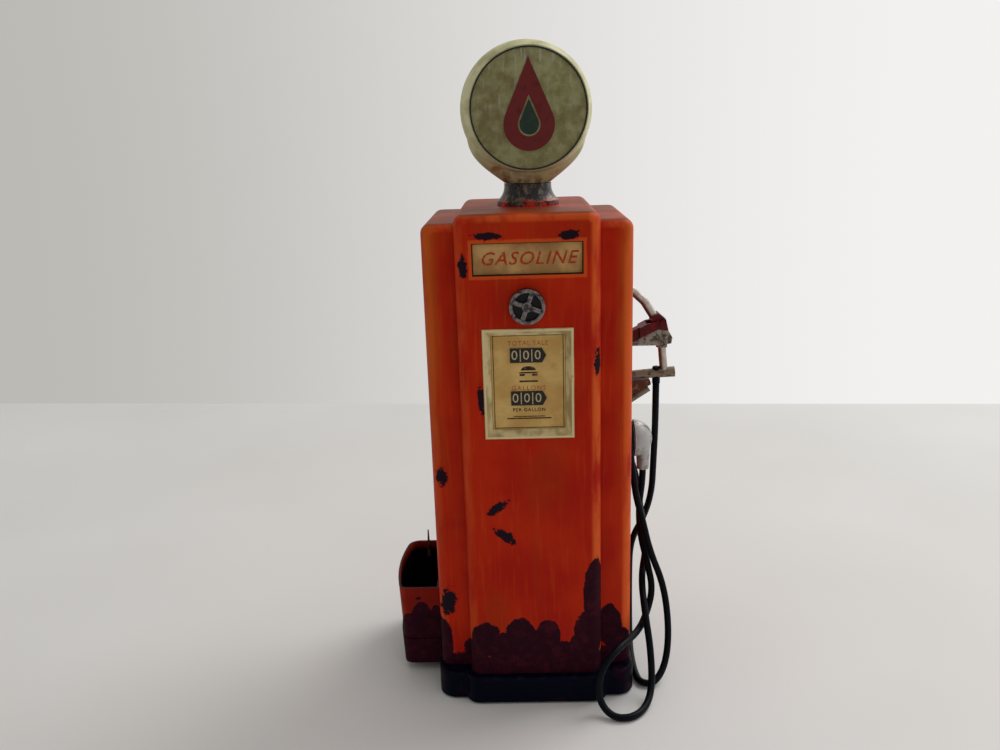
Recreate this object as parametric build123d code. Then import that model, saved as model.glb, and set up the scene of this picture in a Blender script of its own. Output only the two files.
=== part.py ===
from build123d import *
import math
import os

os.makedirs("parts", exist_ok=True)

# Gas pump display miniature. Millimetres, +Z up, front towards -Y.
# Origin: centre of the cabinet on the surface that it stands on.

# Base
FELT_TOP = 0.8
PLINTH_TOP = 11.0
PLINTH_WALL = 3.0
PLINTH_WING = (37.2, -35.0, 33.4)    # half width, front Y, back Y
PLINTH_TOWER = (26.4, -38.8, 37.0)
PLINTH_WING_ROUND = 7.0
PLINTH_TOWER_ROUND = 5.0
PLINTH_INNER_ROUND = 1.5
PLINTH_TOP_ROUND = 1.2
BOTTOM_PLATE = 1.5
FELT_INSET = 1.5
POST_R = 3.2
COUNTERBORE_R = 2.05
COUNTERBORE_DEEP = 1.0

# Cabinet
TOWER = (24.7, -35.5, 34.1)          # half width, front Y, back Y
TOWER_TOP = 183.2
WING = (36.4, -28.9, 30.7)
WING_TOP = 179.8
EDGE_ROUND = 4.5
TOP_ROUND = 3.5
WALL = 1.8
FLANGE = 7.8
FLANGE_THICK = 2.0
FLANGE_ROUND = 3.0
LUG = 5.0
LUG_HALF = 3.0
COVER = (19.0, 27.0, 153.0)          # half width, bottom Z, top Z
COVER_THICK = 1.2
COVER_ROUND = 3.0
COVER_LAP = (4.0, 4.8)               # how far the cover laps its opening, sideways and upright

# Screws: (shank radius, head radius, head height)
SCREW_FIT = 0.03                     # radial gap between a screw's shank and its hole
BOTTOM_SCREW = (1.0, 2.0, 0.9)
CABINET_SCREW = (1.2, 2.2, 1.4)
WING_SCREW = (1.0, 1.9, 1.2)
COVER_SCREW = (0.9, 1.7, 0.8)
BRACKET_SCREW = (0.8, 1.4, 0.7)
SET_SCREW_R = 0.9

# Sign and dial, in the tower's front wall
SIGN = (18.4, 163.0, 173.5)
SIGN_CARD_DEPTH = 1.2
CARD_FIT = 0.15
CARD_THICK = 0.6
BACK_PLATE = 1.0
FRONT_X = -0.5                       # dial and knob sit a little left of centre
DIAL_HALF = 15.65
DIAL_Z = (105.2, 144.6)
DIAL_RIM = 1.1
DIAL_LIP = 0.9
DIAL_EDGE_ROUND = 0.35
DIAL_PROUD = 0.5
DIAL_OPENING = 12.9
DIAL_BEVEL_END = -33.4
DIAL_BACK = -32.6
PLAQUE_HALF = 6.2
PLAQUE_HIGH = 5.1
PLAQUE_Z = (134.7, 119.3)
PLAQUE_THICK = 0.4
PLAQUE_POINT = 1.4

# Knob
KNOB_Z = 152.5
KNOB_R = 6.1
KNOB_DEEP = 3.0
KNOB_GAP = 0.25
KNOB_FLOOR = 1.2
KNOB_RIM = 1.3
KNOB_HUB_R = 1.7
KNOB_BAR_HALF = 0.75
KNOB_BAR_LOW = 0.6                   # how far the crossing bars lie below the rim
KNOB_BAR_TURN = 20
KNOB_NUT_R = 3.0
SPINDLE_R = 1.5

# Globe
GLOBE_X = 1.0
GLOBE_Z = 216.5
GLOBE_R = 23.5
GLOBE_FACE_R = 21.2
GLOBE_HALF = 8.0
GLOBE_TURN = 6.5                     # degrees about +Z at rest
LENS_R = 20.3
LENS_THICK = 1.2
LENS_FIT = 0.05
BEAD = (LENS_R - 0.1, LENS_R + 0.45, 0.35)    # inner radius, outer radius, how far it stands proud
GLOBE_INNER_R = 18.8
DROP_R = 9.0
DROP_LOW = -5.2                      # the drop's round centre, from the globe's centre
DROP_REACH = 22.5                    # from the round centre up to the point
DROP_HOLE = 0.45
EMBLEM_THICK = 0.25
NECK_BOTTOM = 191.2
FUNNEL = [(NECK_BOTTOM, 8.4, 6.8), (194.6, 13.0, 7.2), (201.0, 19.4, 7.5), (207.5, 21.4, 7.5)]
SPIGOT_R = 5.0
SPIGOT_BOTTOM = 180.5
COLLAR_R = 11.2
COLLAR_TOP_R = 8.6
COLLAR_TOP = 190.9
COLLAR_STEM_R = 6.4
COLLAR_STEM_BOTTOM = 176.6
COLLAR_FOOT = 1.6
COLLAR_WAIST = (COLLAR_TOP_R + 0.5, TOWER_TOP + 4.2)
COLLAR_BORE_FIT = 0.06
SET_SCREW_DROP = 2.4
WASHER = (9.6, 0.8)                  # radius, thickness
COLLAR_NUT = (9.4, 2.6)              # corner radius, thickness

# Right side: nozzle, its holders and the outlet elbow share one XZ plane
SIDE_Y = -2.0
SIDE_X = WING[0]
SPOUT_R = 1.6
SPOUT_Z = 151.4
SPOUT_PATH = [(33.9, SPOUT_Z), (38.2, SPOUT_Z), (43.5, 146.4), (47.6, 139.8)]
SPOUT_BEND_R = 4.6
SOCKET_BORE_R = 2.1
SOCKET_R = 3.0
SOCKET_FLANGE = (3.8, 0.7)           # radius, thickness
SOCKET_DEEP = 3.2
PLATE = (105.6, 116.8)               # the hook plate's bottom Z and top Z
PLATE_HALF = 5.0
PLATE_THICK = 0.9
PLATE_SCREW = (3.2, 110.4)           # distance to either side, height
REST_OUTLINE = [(SIDE_X + PLATE_THICK, 110.6), (41.2, 111.2), (46.3, 114.6), (45.9, 116.1),
                (SIDE_X + PLATE_THICK, 116.1)]
REST_HALF = 1.7
STRUT_FOOT_Z = 106.4
STRUT_TIP = (45.6, 112.7)
STRUT_R = 1.3
NOZZLE_HALF = 2.5
VALVE_OUTLINE = [(45.7, 139.4), (46.4, 141.2), (48.6, 142.2), (51.4, 139.8), (52.4, 135.45), (48.0, 136.1)]
WEDGE_OUTLINE = [(38.2, 130.0), (38.2, 130.7), (48.0, 136.1), (52.4, 135.45), (53.9, 132.8), (53.5, 130.6),
                 (50.2, 129.9)]
ARM_OUTLINE = [(38.2, 131.15), (44.2, 134.45), (44.2, 138.4), (40.3, 136.3), (38.2, 135.1)]
ARM_HALF = 2.1
CHEEK_OUTLINE = [(41.6, 133.0), (44.2, 134.45), (48.4, 136.3), (51.0, 136.5), (51.5, 138.6), (50.4, 139.9),
                 (44.2, 138.4), (41.6, 137.0)]
YOKE_OUTLINE = [(41.6, 133.0), (44.2, 134.45), (44.2, 138.4), (41.6, 137.0)]
LEVER_PIVOT = (49.8, 138.2)
LEVER_PIN_R = 0.7
LEVER_PIN_HEAD = (1.25, 0.5)         # radius, thickness
LEVER_PIN_GAP = 0.15
PIN_FIT = 0.05
CHEEK_GAP = 0.3
CHEEK = 1.1
STEM_TOP = (50.3, 129.6)
STEM_FOOT = (51.3, 118.9)
STEM_R = 1.5
STEM_COLLAR = (50.25, 2.1, 128.8, 130.4)      # X, radius, bottom Z, top Z
BAR_LEFT = (37.9, 118.0)
BAR_RIGHT = (55.3, 119.0)
BAR_R = (1.6, 2.0)
FERRULE_X = 48.4
FERRULE_R = 1.5
FERRULE_Z = (114.6, 121.2)
ELBOW_X = 40.0
ELBOW_Z = 92.6
ELBOW_R = 7.2
ELBOW_STUB_R = 4.3
OUTLET_X = 43.8
OUTLET_BOTTOM = 80.0
OUTLET_R = 2.35
OUTLET_BORE_TOP = 82.5
OUTLET_TAPER = 0.5
ELBOW_NUT = (6.4, 2.2)               # corner radius, thickness

# Hose: a cord from the outlet up to the nozzle, looped on the floor and hung over the elbow's stub
HOSE_R = 1.32
HOSE_ROUTE = [
    (OUTLET_X, SIDE_Y, OUTLET_BORE_TOP), (OUTLET_X, SIDE_Y, 75.0), (42.3, -2.8, 65.0), (42.6, -4.8, 53.5),
    (45.2, -8.6, 42.2), (47.2, -10.8, 32.2), (44.4, -15.6, 24.4), (39.4, -25.6, 21.5), (30.6, -38.8, 23.4),
    (24.4, -43.4, 18.6), (22.3, -43.8, 10.6), (23.6, -45.4, 3.6), (28.0, -50.0, 1.4), (35.0, -49.8, 1.4),
    (40.6, -43.6, 1.4), (43.8, -35.6, 4.6), (44.0, -28.6, 16.4), (42.6, -22.0, 28.0), (42.8, -8.0, 36.0),
    (46.0, 0.4, 44.4), (44.8, 3.0, 55.0), (43.0, 3.8, 66.0), (41.6, 4.0, 76.6), (38.1, 4.1, 85.6),
    (38.2, 4.1, 95.0), (38.2, 1.0, 98.5), (38.2, -5.0, 98.5), (38.2, -8.1, 95.0), (38.2, -8.1, 87.5),
    (39.5, -7.2, 79.5), (40.5, -6.9, 70.5), (43.3, -7.8, 60.0), (45.9, -9.6, 48.0), (51.4, -12.0, 34.0),
    (52.8, -17.6, 18.0), (50.8, -23.6, 6.2), (45.6, -29.6, 1.5), (40.2, -28.8, 1.5), (38.95, -21.8, 1.5),
    (38.9, -14.0, 1.5), (39.1, -4.4, 2.0), (40.0, 6.0, 9.0), (41.0, 15.2, 24.0), (41.4, 15.8, 40.0),
    (46.4, 10.2, 54.0), (48.9, 7.4, 66.0), (48.9, 4.6, 80.0), (48.8, 1.4, 93.0), (FERRULE_X, SIDE_Y, 104.6),
    (FERRULE_X, SIDE_Y, FERRULE_Z[0]),
]

# Bucket on the left side
BUCKET_X = (-55.5, -37.6)
BUCKET_Y = (-15.0, 27.5)
BUCKET_Z = (3.4, 36.4)
BUCKET_WALL = 0.9
BUCKET_FLOOR = 1.2
BUCKET_BOW_R = 90.0                  # the outboard wall bows out in a long arc
BUCKET_FRONT_ROUND = 3.0
BUCKET_REAR_ROUND = 5.0
BUCKET_TAPER = 1.4                   # outboard wall leans in by this much at the bottom
BAND_TOP = 14.0
BAND_PROUD = 0.6
STUD_Y = (-7.0, 19.0)
STUD_Z = 29.5
STUD_R = 0.8
STUD_HEAD = (1.7, 0.7)               # radius, thickness
SLOT_FIT = 0.15
ENTRY_FIT = 0.3
ENTRY_DROP = 1.2
LIFT = 5.0
PIN_AT = (-45.3, 25.7)
PIN_Z = (30.0, 42.3)
PIN_R = (0.85, 0.25)


def block(x, y, z):
    """A box from its (low, high) limits along each axis."""
    size = (x[1] - x[0], y[1] - y[0], z[1] - z[0])
    return Pos((x[0] + x[1]) / 2, (y[0] + y[1]) / 2, (z[0] + z[1]) / 2) * Box(*size)


def rod(start, end, radius, end_radius=None):
    """A straight round bar, or a cone where the two radii differ."""
    start, end = Vector(*start), Vector(*end)
    direction = end - start
    plane = Plane(origin=start, z_dir=direction)
    if end_radius is None:
        return extrude(plane * Circle(radius), direction.length)
    return plane * Cone(radius, end_radius, direction.length, align=(Align.CENTER, Align.CENTER, Align.MIN))


def side_plate(points, half, middle=SIDE_Y):
    """An XZ outline with a thickness of twice half about the plane Y = middle."""
    plane = Plane(origin=(0, middle + half, 0), x_dir=(1, 0, 0), z_dir=(0, -1, 0))
    return extrude(plane * make_face(Polyline(*points, close=True)), 2 * half)


def footprint(limits, radius, inset=0.0):
    """A rounded rectangle from (half width, front Y, back Y)."""
    half, front, back = limits
    sketch = RectangleRounded(2 * (half - inset), back - front - 2 * inset, radius - inset)
    return Pos(0, (front + back) / 2) * sketch


def rounded_case(limits, bottom, top, inset=0.0):
    """A cabinet block: rounded upright edges and a rounded top."""
    body = extrude(Pos(0, 0, bottom) * footprint(limits, EDGE_ROUND, inset), top - inset - bottom)
    return fillet(body.faces().sort_by(Axis.Z)[-1].edges(), TOP_ROUND - inset)


def screw(head, tip, size):
    """A plain screw: its shank runs from head to tip, its head sits behind the head point."""
    head, tip = Vector(*head), Vector(*tip)
    shank_r, head_r, head_high = size
    back = head - (tip - head).normalized() * head_high
    return rod(head, tip, shank_r) + rod(head, back, head_r)


def save(name, shape):
    """Write one node. A list is kept as a group of separate solids."""
    if isinstance(shape, (list, tuple)):
        shape = Compound(children=list(shape))
    export_step(shape, f"parts/{name}.step")


# ---- base ----
def plinth_form(inset, bottom, top):
    """The stepped base block: the wing part and the tower part, their inner corners rounded."""
    outline = footprint(PLINTH_WING, PLINTH_WING_ROUND, inset)
    outline += footprint(PLINTH_TOWER, PLINTH_TOWER_ROUND, inset)
    form = extrude(Pos(0, 0, bottom) * outline, top - bottom)
    corner_x = PLINTH_TOWER[0] - inset
    ends = (PLINTH_WING[1] + inset, PLINTH_WING[2] - inset)
    inner = [edge for edge in form.edges().filter_by(Axis.Z)
             if abs(abs(edge.center().X) - corner_x) < 0.3
             and min(abs(edge.center().Y - end) for end in ends) < 0.01]
    return fillet(inner, PLINTH_INNER_ROUND)


def post_places():
    return [(x, y) for x in (-29.0, 29.0) for y in (-25.0, 25.0)]


def cabinet_screw_places():
    return [(x, y) for x in (-19.6, 19.6) for y in (-30.4, 29.0)]


def make_base():
    roof = PLINTH_TOP - PLINTH_WALL
    solid = plinth_form(0, FELT_TOP, PLINTH_TOP)
    solid = fillet(solid.faces().sort_by(Axis.Z)[-1].edges(), PLINTH_TOP_ROUND)
    plinth = solid - plinth_form(PLINTH_WALL, FELT_TOP, roof)
    plate_top = FELT_TOP + BOTTOM_PLATE
    plate = plinth_form(PLINTH_WALL + 0.1, FELT_TOP, plate_top)
    screws = []
    hole_r = BOTTOM_SCREW[0] + SCREW_FIT
    seat = FELT_TOP + COUNTERBORE_DEEP
    for x, y in post_places():
        plinth += rod((x, y, plate_top), (x, y, roof), POST_R)
        plinth -= rod((x, y, plate_top), (x, y, roof), hole_r)
        plate -= rod((x, y, FELT_TOP), (x, y, plate_top), hole_r)
        plate -= rod((x, y, FELT_TOP), (x, y, seat), COUNTERBORE_R)
        screws.append(screw((x, y, seat), (x, y, roof - 1), BOTTOM_SCREW))
    for x, y in cabinet_screw_places():
        plinth -= rod((x, y, roof), (x, y, PLINTH_TOP), CABINET_SCREW[0] + SCREW_FIT)
    save("base_felt", plinth_form(FELT_INSET, 0, FELT_TOP))
    save("plinth", plinth)
    save("bottom_plate", plate)
    save("bottom_screws", screws)


# ---- cabinet ----
def wing_screw_places():
    return [(y, z) for y in (-24.2, 26.0) for z in (40.0, 150.0)]


def cover_screw_places():
    half, low, high = COVER
    return [(x, z) for x in (2 - half, half - 2) for z in (low + 2.4, high - 2.4)]


def make_tower():
    half, front, back = TOWER
    outer = rounded_case(TOWER, PLINTH_TOP, TOWER_TOP)
    flange_top = PLINTH_TOP + FLANGE_THICK
    shell = outer - rounded_case(TOWER, flange_top, TOWER_TOP, WALL)
    inside_flange = (half - FLANGE, front + FLANGE, back - FLANGE)
    shell -= extrude(Pos(0, 0, PLINTH_TOP) * footprint(inside_flange, FLANGE_ROUND), FLANGE_THICK)
    through = (front - 1, front + WALL + 1)
    shell -= block((-SIGN[0], SIGN[0]), through, SIGN[1:])
    shell -= dial_block(DIAL_HALF - DIAL_RIM, DIAL_RIM, through)
    shell -= rod((FRONT_X, front - 1, KNOB_Z), (FRONT_X, front + WALL + 1, KNOB_Z), SPINDLE_R + 0.05)
    stem_hole = rod((0, 0, TOWER_TOP - WALL - 1), (0, 0, TOWER_TOP + 1), COLLAR_STEM_R + SCREW_FIT)
    shell -= on_stem(stem_hole)
    opening = COVER[0] - COVER_LAP[0]
    opening_z = (COVER[1] + COVER_LAP[1], COVER[2] - COVER_LAP[1])
    shell -= block((-opening, opening), (back - WALL - 1, back + 1), opening_z)
    for x, z in cover_screw_places():
        shell -= rod((x, back + 1, z), (x, back - WALL - 1, z), COVER_SCREW[0] + SCREW_FIT)
    for y, z in wing_screw_places():
        shell -= rod((-half - 1, y, z), (half + 1, y, z), WING_SCREW[0] + SCREW_FIT)
    for x, y in cabinet_screw_places():
        shell -= rod((x, y, PLINTH_TOP), (x, y, flange_top), CABINET_SCREW[0] + SCREW_FIT)
    save("tower_shell", shell)
    roof = PLINTH_TOP - PLINTH_WALL
    save("cabinet_screws", [screw((x, y, roof), (x, y, flange_top + 1), CABINET_SCREW)
                            for x, y in cabinet_screw_places()])


def wing_shell():
    """The right wing; it is open towards the tower and has four lugs for screws."""
    half, front, back = WING
    tower = TOWER[0]
    beside_tower = block((tower, half), (front, back), (PLINTH_TOP, WING_TOP))
    wing = rounded_case(WING, PLINTH_TOP, WING_TOP) & beside_tower
    wing -= rounded_case(WING, PLINTH_TOP, WING_TOP, WALL) & beside_tower
    for y, z in wing_screw_places():
        reach = (front + WALL, y + LUG_HALF) if y < 0 else (y - LUG_HALF, back - WALL)
        wing += block((tower, tower + LUG), reach, (z - LUG_HALF, z + LUG_HALF))
        wing -= rod((tower, y, z), (tower + LUG, y, z), WING_SCREW[0] + SCREW_FIT)
    return wing


def make_wings():
    half = WING[0]
    wing = wing_shell()
    right = wing - rod((half - WALL - 1, SIDE_Y, SPOUT_Z), (half + 1, SIDE_Y, SPOUT_Z), SOCKET_R)
    right -= rod((half - WALL - 1, SIDE_Y, ELBOW_Z), (half + 1, SIDE_Y, ELBOW_Z), ELBOW_STUB_R + SCREW_FIT)
    for y, z in bracket_screw_places():
        right -= rod((half - WALL - 1, y, z), (half + 1, y, z), BRACKET_SCREW[0] + SCREW_FIT)
    left = mirror(wing, Plane.YZ)
    for y in STUD_Y:
        left -= rod((-half + WALL + 1, y, STUD_Z), (-half - 1, y, STUD_Z), STUD_R + SCREW_FIT)
    save("right_wing_shell", right)
    save("left_wing_shell", left)
    inside = TOWER[0] - WALL
    screws = []
    for side in (-1, 1):
        for y, z in wing_screw_places():
            screws.append(screw((side * inside, y, z), (side * (TOWER[0] + LUG - 0.6), y, z), WING_SCREW))
    save("wing_screws", screws)


def make_rear_cover():
    back = TOWER[2]
    half, low, high = COVER
    plane = Plane(origin=(0, back + COVER_THICK, (low + high) / 2), x_dir=(1, 0, 0), z_dir=(0, -1, 0))
    cover = extrude(plane * RectangleRounded(2 * half, high - low, COVER_ROUND), COVER_THICK)
    screws = []
    for x, z in cover_screw_places():
        cover -= rod((x, back, z), (x, back + COVER_THICK, z), COVER_SCREW[0] + SCREW_FIT)
        screws.append(screw((x, back + COVER_THICK, z), (x, back - WALL - 0.6, z), COVER_SCREW))
    save("rear_cover", cover)
    save("rear_cover_screws", screws)


# ---- sign and dial ----
def dial_block(half, shrink, y):
    return block((FRONT_X - half, FRONT_X + half), y, (DIAL_Z[0] + shrink, DIAL_Z[1] - shrink))


def make_sign():
    half, low, high = SIGN
    back = TOWER[1] + WALL
    card_front = TOWER[1] + SIGN_CARD_DEPTH
    card = block((CARD_FIT - half, half - CARD_FIT), (card_front, back), (low + CARD_FIT, high - CARD_FIT))
    save("sign_card", card)
    save("sign_back_plate", block((-half - 1.5, half + 1.5), (back, back + BACK_PLATE), (low - 2, high + 2)))


def dial_section(y, half, low, high):
    plane = Plane(origin=(FRONT_X, y, (low + high) / 2), x_dir=(1, 0, 0), z_dir=(0, -1, 0))
    return plane * Rectangle(2 * half, high - low)


def make_dial():
    front = TOWER[1] - DIAL_PROUD
    low, high = DIAL_Z
    step = DIAL_HALF - DIAL_OPENING
    frame = dial_block(DIAL_HALF, 0, (front, TOWER[1]))
    frame = fillet(frame.faces().sort_by(Axis.Y)[0].edges(), DIAL_EDGE_ROUND)
    frame += dial_block(DIAL_HALF - DIAL_RIM - 0.05, DIAL_RIM + 0.05, (TOWER[1], DIAL_BACK))
    frame -= dial_block(DIAL_OPENING, step, (front, DIAL_BACK))
    mouth = dial_section(front, DIAL_HALF - DIAL_LIP, low + DIAL_LIP, high - DIAL_LIP)
    seat = dial_section(DIAL_BEVEL_END, DIAL_OPENING, low + step, high - step)
    frame -= loft([mouth, seat])
    save("dial_frame", frame)
    save("dial_card", dial_block(DIAL_OPENING - 0.1, step + 0.1, (DIAL_BACK - CARD_THICK, DIAL_BACK)))
    save("dial_back_plate", dial_block(DIAL_HALF, 0, (DIAL_BACK, DIAL_BACK + BACK_PLATE)))
    face = DIAL_BACK - CARD_THICK
    save("number_plaques", [side_plate(plaque_outline(z), PLAQUE_THICK / 2, face - PLAQUE_THICK / 2)
                            for z in PLAQUE_Z])


def plaque_outline(z):
    left, right = FRONT_X - PLAQUE_HALF, FRONT_X + PLAQUE_HALF
    low, high = z - PLAQUE_HIGH / 2, z + PLAQUE_HIGH / 2
    return [(left, low), (right - PLAQUE_POINT, low), (right, z), (right - PLAQUE_POINT, high), (left, high)]


# ---- knob ----
def knob_ring(outer, inner, front, back):
    ring = rod((FRONT_X, back, KNOB_Z), (FRONT_X, front, KNOB_Z), outer)
    return ring - rod((FRONT_X, back, KNOB_Z), (FRONT_X, front, KNOB_Z), inner) if inner else ring


def make_knob():
    back = TOWER[1] - KNOB_GAP
    front = back - KNOB_DEEP
    floor = back - KNOB_FLOOR
    knob = knob_ring(KNOB_R, 0, floor, back)
    rim = knob_ring(KNOB_R, KNOB_R - KNOB_RIM, front, floor)
    rim = fillet(rim.faces().sort_by(Axis.Y)[0].edges(), 0.5)
    knob += rim + knob_ring(KNOB_HUB_R, 0, front, floor)
    reach = KNOB_R - 1
    bar_z = (KNOB_Z - KNOB_BAR_HALF, KNOB_Z + KNOB_BAR_HALF)
    bar = block((FRONT_X - reach, FRONT_X + reach), (front + KNOB_BAR_LOW, floor), bar_z)
    for turn in range(2):
        knob += bar.rotate(Axis((FRONT_X, 0, KNOB_Z), (0, 1, 0)), 90 * turn + KNOB_BAR_TURN)
    knob -= knob_ring(SPINDLE_R, 0, floor, back)
    inside = TOWER[1] + WALL
    spindle = knob_ring(SPINDLE_R, 0, floor, inside + 3)
    nut = knob_ring(KNOB_NUT_R, SPINDLE_R, inside + 0.3, inside + 2.3)
    save("knob", knob)
    save("knob_spindle", spindle)
    save("knob_nut", nut)


# ---- globe ----
def on_globe(shape):
    """Turn a piece that is drawn square to the cabinet into the globe's rest position."""
    return Pos(GLOBE_X, 0, 0) * Rot(0, 0, GLOBE_TURN) * shape


def disc(radius, y, inner=0.0):
    """A disc about the globe's own axis between two Y values."""
    shape = rod((0, y[0], GLOBE_Z), (0, y[1], GLOBE_Z), radius)
    return shape - rod((0, y[0], GLOBE_Z), (0, y[1], GLOBE_Z), inner) if inner else shape


def globe_body():
    edge = GLOBE_Z + GLOBE_FACE_R
    with BuildPart() as ring:
        with BuildSketch(Plane.YZ):
            with BuildLine():
                Polyline((-GLOBE_HALF, GLOBE_Z), (-GLOBE_HALF, edge))
                ThreePointArc((-GLOBE_HALF, edge), (0, GLOBE_Z + GLOBE_R), (GLOBE_HALF, edge))
                Polyline((GLOBE_HALF, edge), (GLOBE_HALF, GLOBE_Z), (-GLOBE_HALF, GLOBE_Z))
            make_face()
        revolve(axis=Axis((0, 0, GLOBE_Z), (0, 1, 0)))
    body = ring.part + loft([Pos(0, 0, z) * Ellipse(half_x, half_y) for z, half_x, half_y in FUNNEL])
    body += rod((0, 0, SPIGOT_BOTTOM), (0, 0, NECK_BOTTOM), SPIGOT_R)
    ledge = GLOBE_HALF - LENS_THICK
    seat_r = LENS_R + LENS_FIT
    body -= disc(seat_r, (-GLOBE_HALF, -ledge)) + disc(seat_r, (ledge, GLOBE_HALF))
    return body - disc(GLOBE_INNER_R, (-ledge, ledge))


def drop_outline(scale):
    """A fuel drop: a round bottom under a pointed top."""
    radius = DROP_R * scale
    low = GLOBE_Z + DROP_LOW
    reach = DROP_REACH * scale
    lift = radius * radius / reach
    side = math.sqrt(radius * radius - lift * lift)
    with BuildSketch(Plane(origin=(0, 0, 0), x_dir=(1, 0, 0), z_dir=(0, -1, 0))) as drop:
        with BuildLine():
            ThreePointArc((-side, low + lift), (0, low - radius), (side, low + lift))
            Polyline((side, low + lift), (0, low + reach), (-side, low + lift))
        make_face()
    return drop.sketch


def emblem(y):
    """The drop, raised on a lens: a pointed drop with a smaller one cut out of it."""
    shape = extrude(drop_outline(1.0), EMBLEM_THICK) - extrude(drop_outline(DROP_HOLE), EMBLEM_THICK)
    return Pos(0, y, 0) * shape


def make_globe():
    face = GLOBE_HALF
    save("globe_ring", on_globe(globe_body()))
    save("front_lens", on_globe(disc(LENS_R, (-face, -face + LENS_THICK))))
    save("rear_lens", on_globe(disc(LENS_R, (face - LENS_THICK, face))))
    bead_inner, bead_outer, proud = BEAD
    save("front_bead", on_globe(disc(bead_outer, (-face - proud, -face), bead_inner)))
    save("rear_bead", on_globe(disc(bead_outer, (face, face + proud), bead_inner)))
    save("front_emblem", on_globe(emblem(-face)))
    save("rear_emblem", on_globe(emblem(face + EMBLEM_THICK)))


def on_stem(shape):
    """Move a piece that is drawn about the Z axis onto the globe's axis."""
    return Pos(GLOBE_X, 0, 0) * shape


def make_collar():
    with BuildPart() as flare:
        with BuildSketch(Plane.XZ):
            with BuildLine():
                foot = (COLLAR_R, TOWER_TOP + COLLAR_FOOT)
                Polyline((0, TOWER_TOP), (COLLAR_R, TOWER_TOP), foot)
                ThreePointArc(foot, COLLAR_WAIST, (COLLAR_TOP_R, COLLAR_TOP))
                Polyline((COLLAR_TOP_R, COLLAR_TOP), (0, COLLAR_TOP), (0, TOWER_TOP))
            make_face()
        revolve(axis=Axis.Z)
    collar = flare.part + rod((0, 0, COLLAR_STEM_BOTTOM), (0, 0, TOWER_TOP), COLLAR_STEM_R)
    collar -= rod((0, 0, COLLAR_STEM_BOTTOM), (0, 0, COLLAR_TOP), SPIGOT_R + COLLAR_BORE_FIT)
    screw_z = COLLAR_TOP - SET_SCREW_DROP
    collar -= rod((0, SPIGOT_R, screw_z), (0, COLLAR_R, screw_z), SET_SCREW_R + SCREW_FIT)
    save("globe_collar", on_stem(collar))
    set_screw = rod((0, SPIGOT_R + 0.3, screw_z), (0, COLLAR_TOP_R + 0.9, screw_z), SET_SCREW_R)
    save("collar_set_screw", on_stem(set_screw))
    under = TOWER_TOP - WALL
    washer_r, washer_thick = WASHER
    nut_r, nut_thick = COLLAR_NUT
    hole = rod((0, 0, COLLAR_STEM_BOTTOM), (0, 0, under), COLLAR_STEM_R + SCREW_FIT)
    save("collar_washer", on_stem(rod((0, 0, under - washer_thick), (0, 0, under), washer_r) - hole))
    nut = extrude(Pos(0, 0, under - washer_thick - nut_thick) * RegularPolygon(nut_r, 6), nut_thick)
    save("collar_nut", on_stem(nut - hole))


# ---- nozzle and its holders ----
def bracket_screw_places():
    aside, z = PLATE_SCREW
    return [(SIDE_Y - aside, z), (SIDE_Y + aside, z)]


def make_holders():
    flange_r, flange_thick = SOCKET_FLANGE
    deep = (SIDE_X - SOCKET_DEEP, SIDE_Y, SPOUT_Z)
    mouth = (SIDE_X + flange_thick, SIDE_Y, SPOUT_Z)
    socket = rod(deep, (SIDE_X, SIDE_Y, SPOUT_Z), SOCKET_R)
    socket += rod((SIDE_X, SIDE_Y, SPOUT_Z), mouth, flange_r)
    save("spout_socket", socket - rod(deep, mouth, SOCKET_BORE_R))
    face = SIDE_X + PLATE_THICK
    plate = block((SIDE_X, face), (SIDE_Y - PLATE_HALF, SIDE_Y + PLATE_HALF), PLATE)
    screws = []
    for y, z in bracket_screw_places():
        plate -= rod((SIDE_X, y, z), (face, y, z), BRACKET_SCREW[0] + SCREW_FIT)
        screws.append(screw((face, y, z), (SIDE_X - WALL - 0.8, y, z), BRACKET_SCREW))
    save("hook_plate", plate)
    save("hook_screws", screws)
    rest = side_plate(REST_OUTLINE, REST_HALF)
    save("nozzle_rest", rest)
    strut = rod((face - 1.5, SIDE_Y, STRUT_FOOT_Z), (STRUT_TIP[0], SIDE_Y, STRUT_TIP[1]), STRUT_R)
    outside = block((face, STRUT_TIP[0] + 5), (SIDE_Y - 3, SIDE_Y + 3), PLATE)
    save("rest_strut", (strut & outside) - rest)


def spout():
    points = [(x, SIDE_Y, z) for x, z in SPOUT_PATH]
    line = FilletPolyline(*points, radius=SPOUT_BEND_R)
    return sweep(Plane(origin=points[0], z_dir=(1, 0, 0)) * Circle(SPOUT_R), path=line)


def across(place, reach, radius):
    """A rod along Y through an (x, z) place, reaching as far to either side of the side items' plane."""
    x, z = place
    return rod((x, SIDE_Y - reach, z), (x, SIDE_Y + reach, z), radius)


def lever_pin():
    reach = NOZZLE_HALF + CHEEK_GAP + CHEEK + LEVER_PIN_GAP
    head_r, head_thick = LEVER_PIN_HEAD
    heads = across(LEVER_PIVOT, reach + head_thick, head_r) - across(LEVER_PIVOT, reach, head_r + 1)
    return across(LEVER_PIVOT, reach, LEVER_PIN_R) + heads


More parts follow.
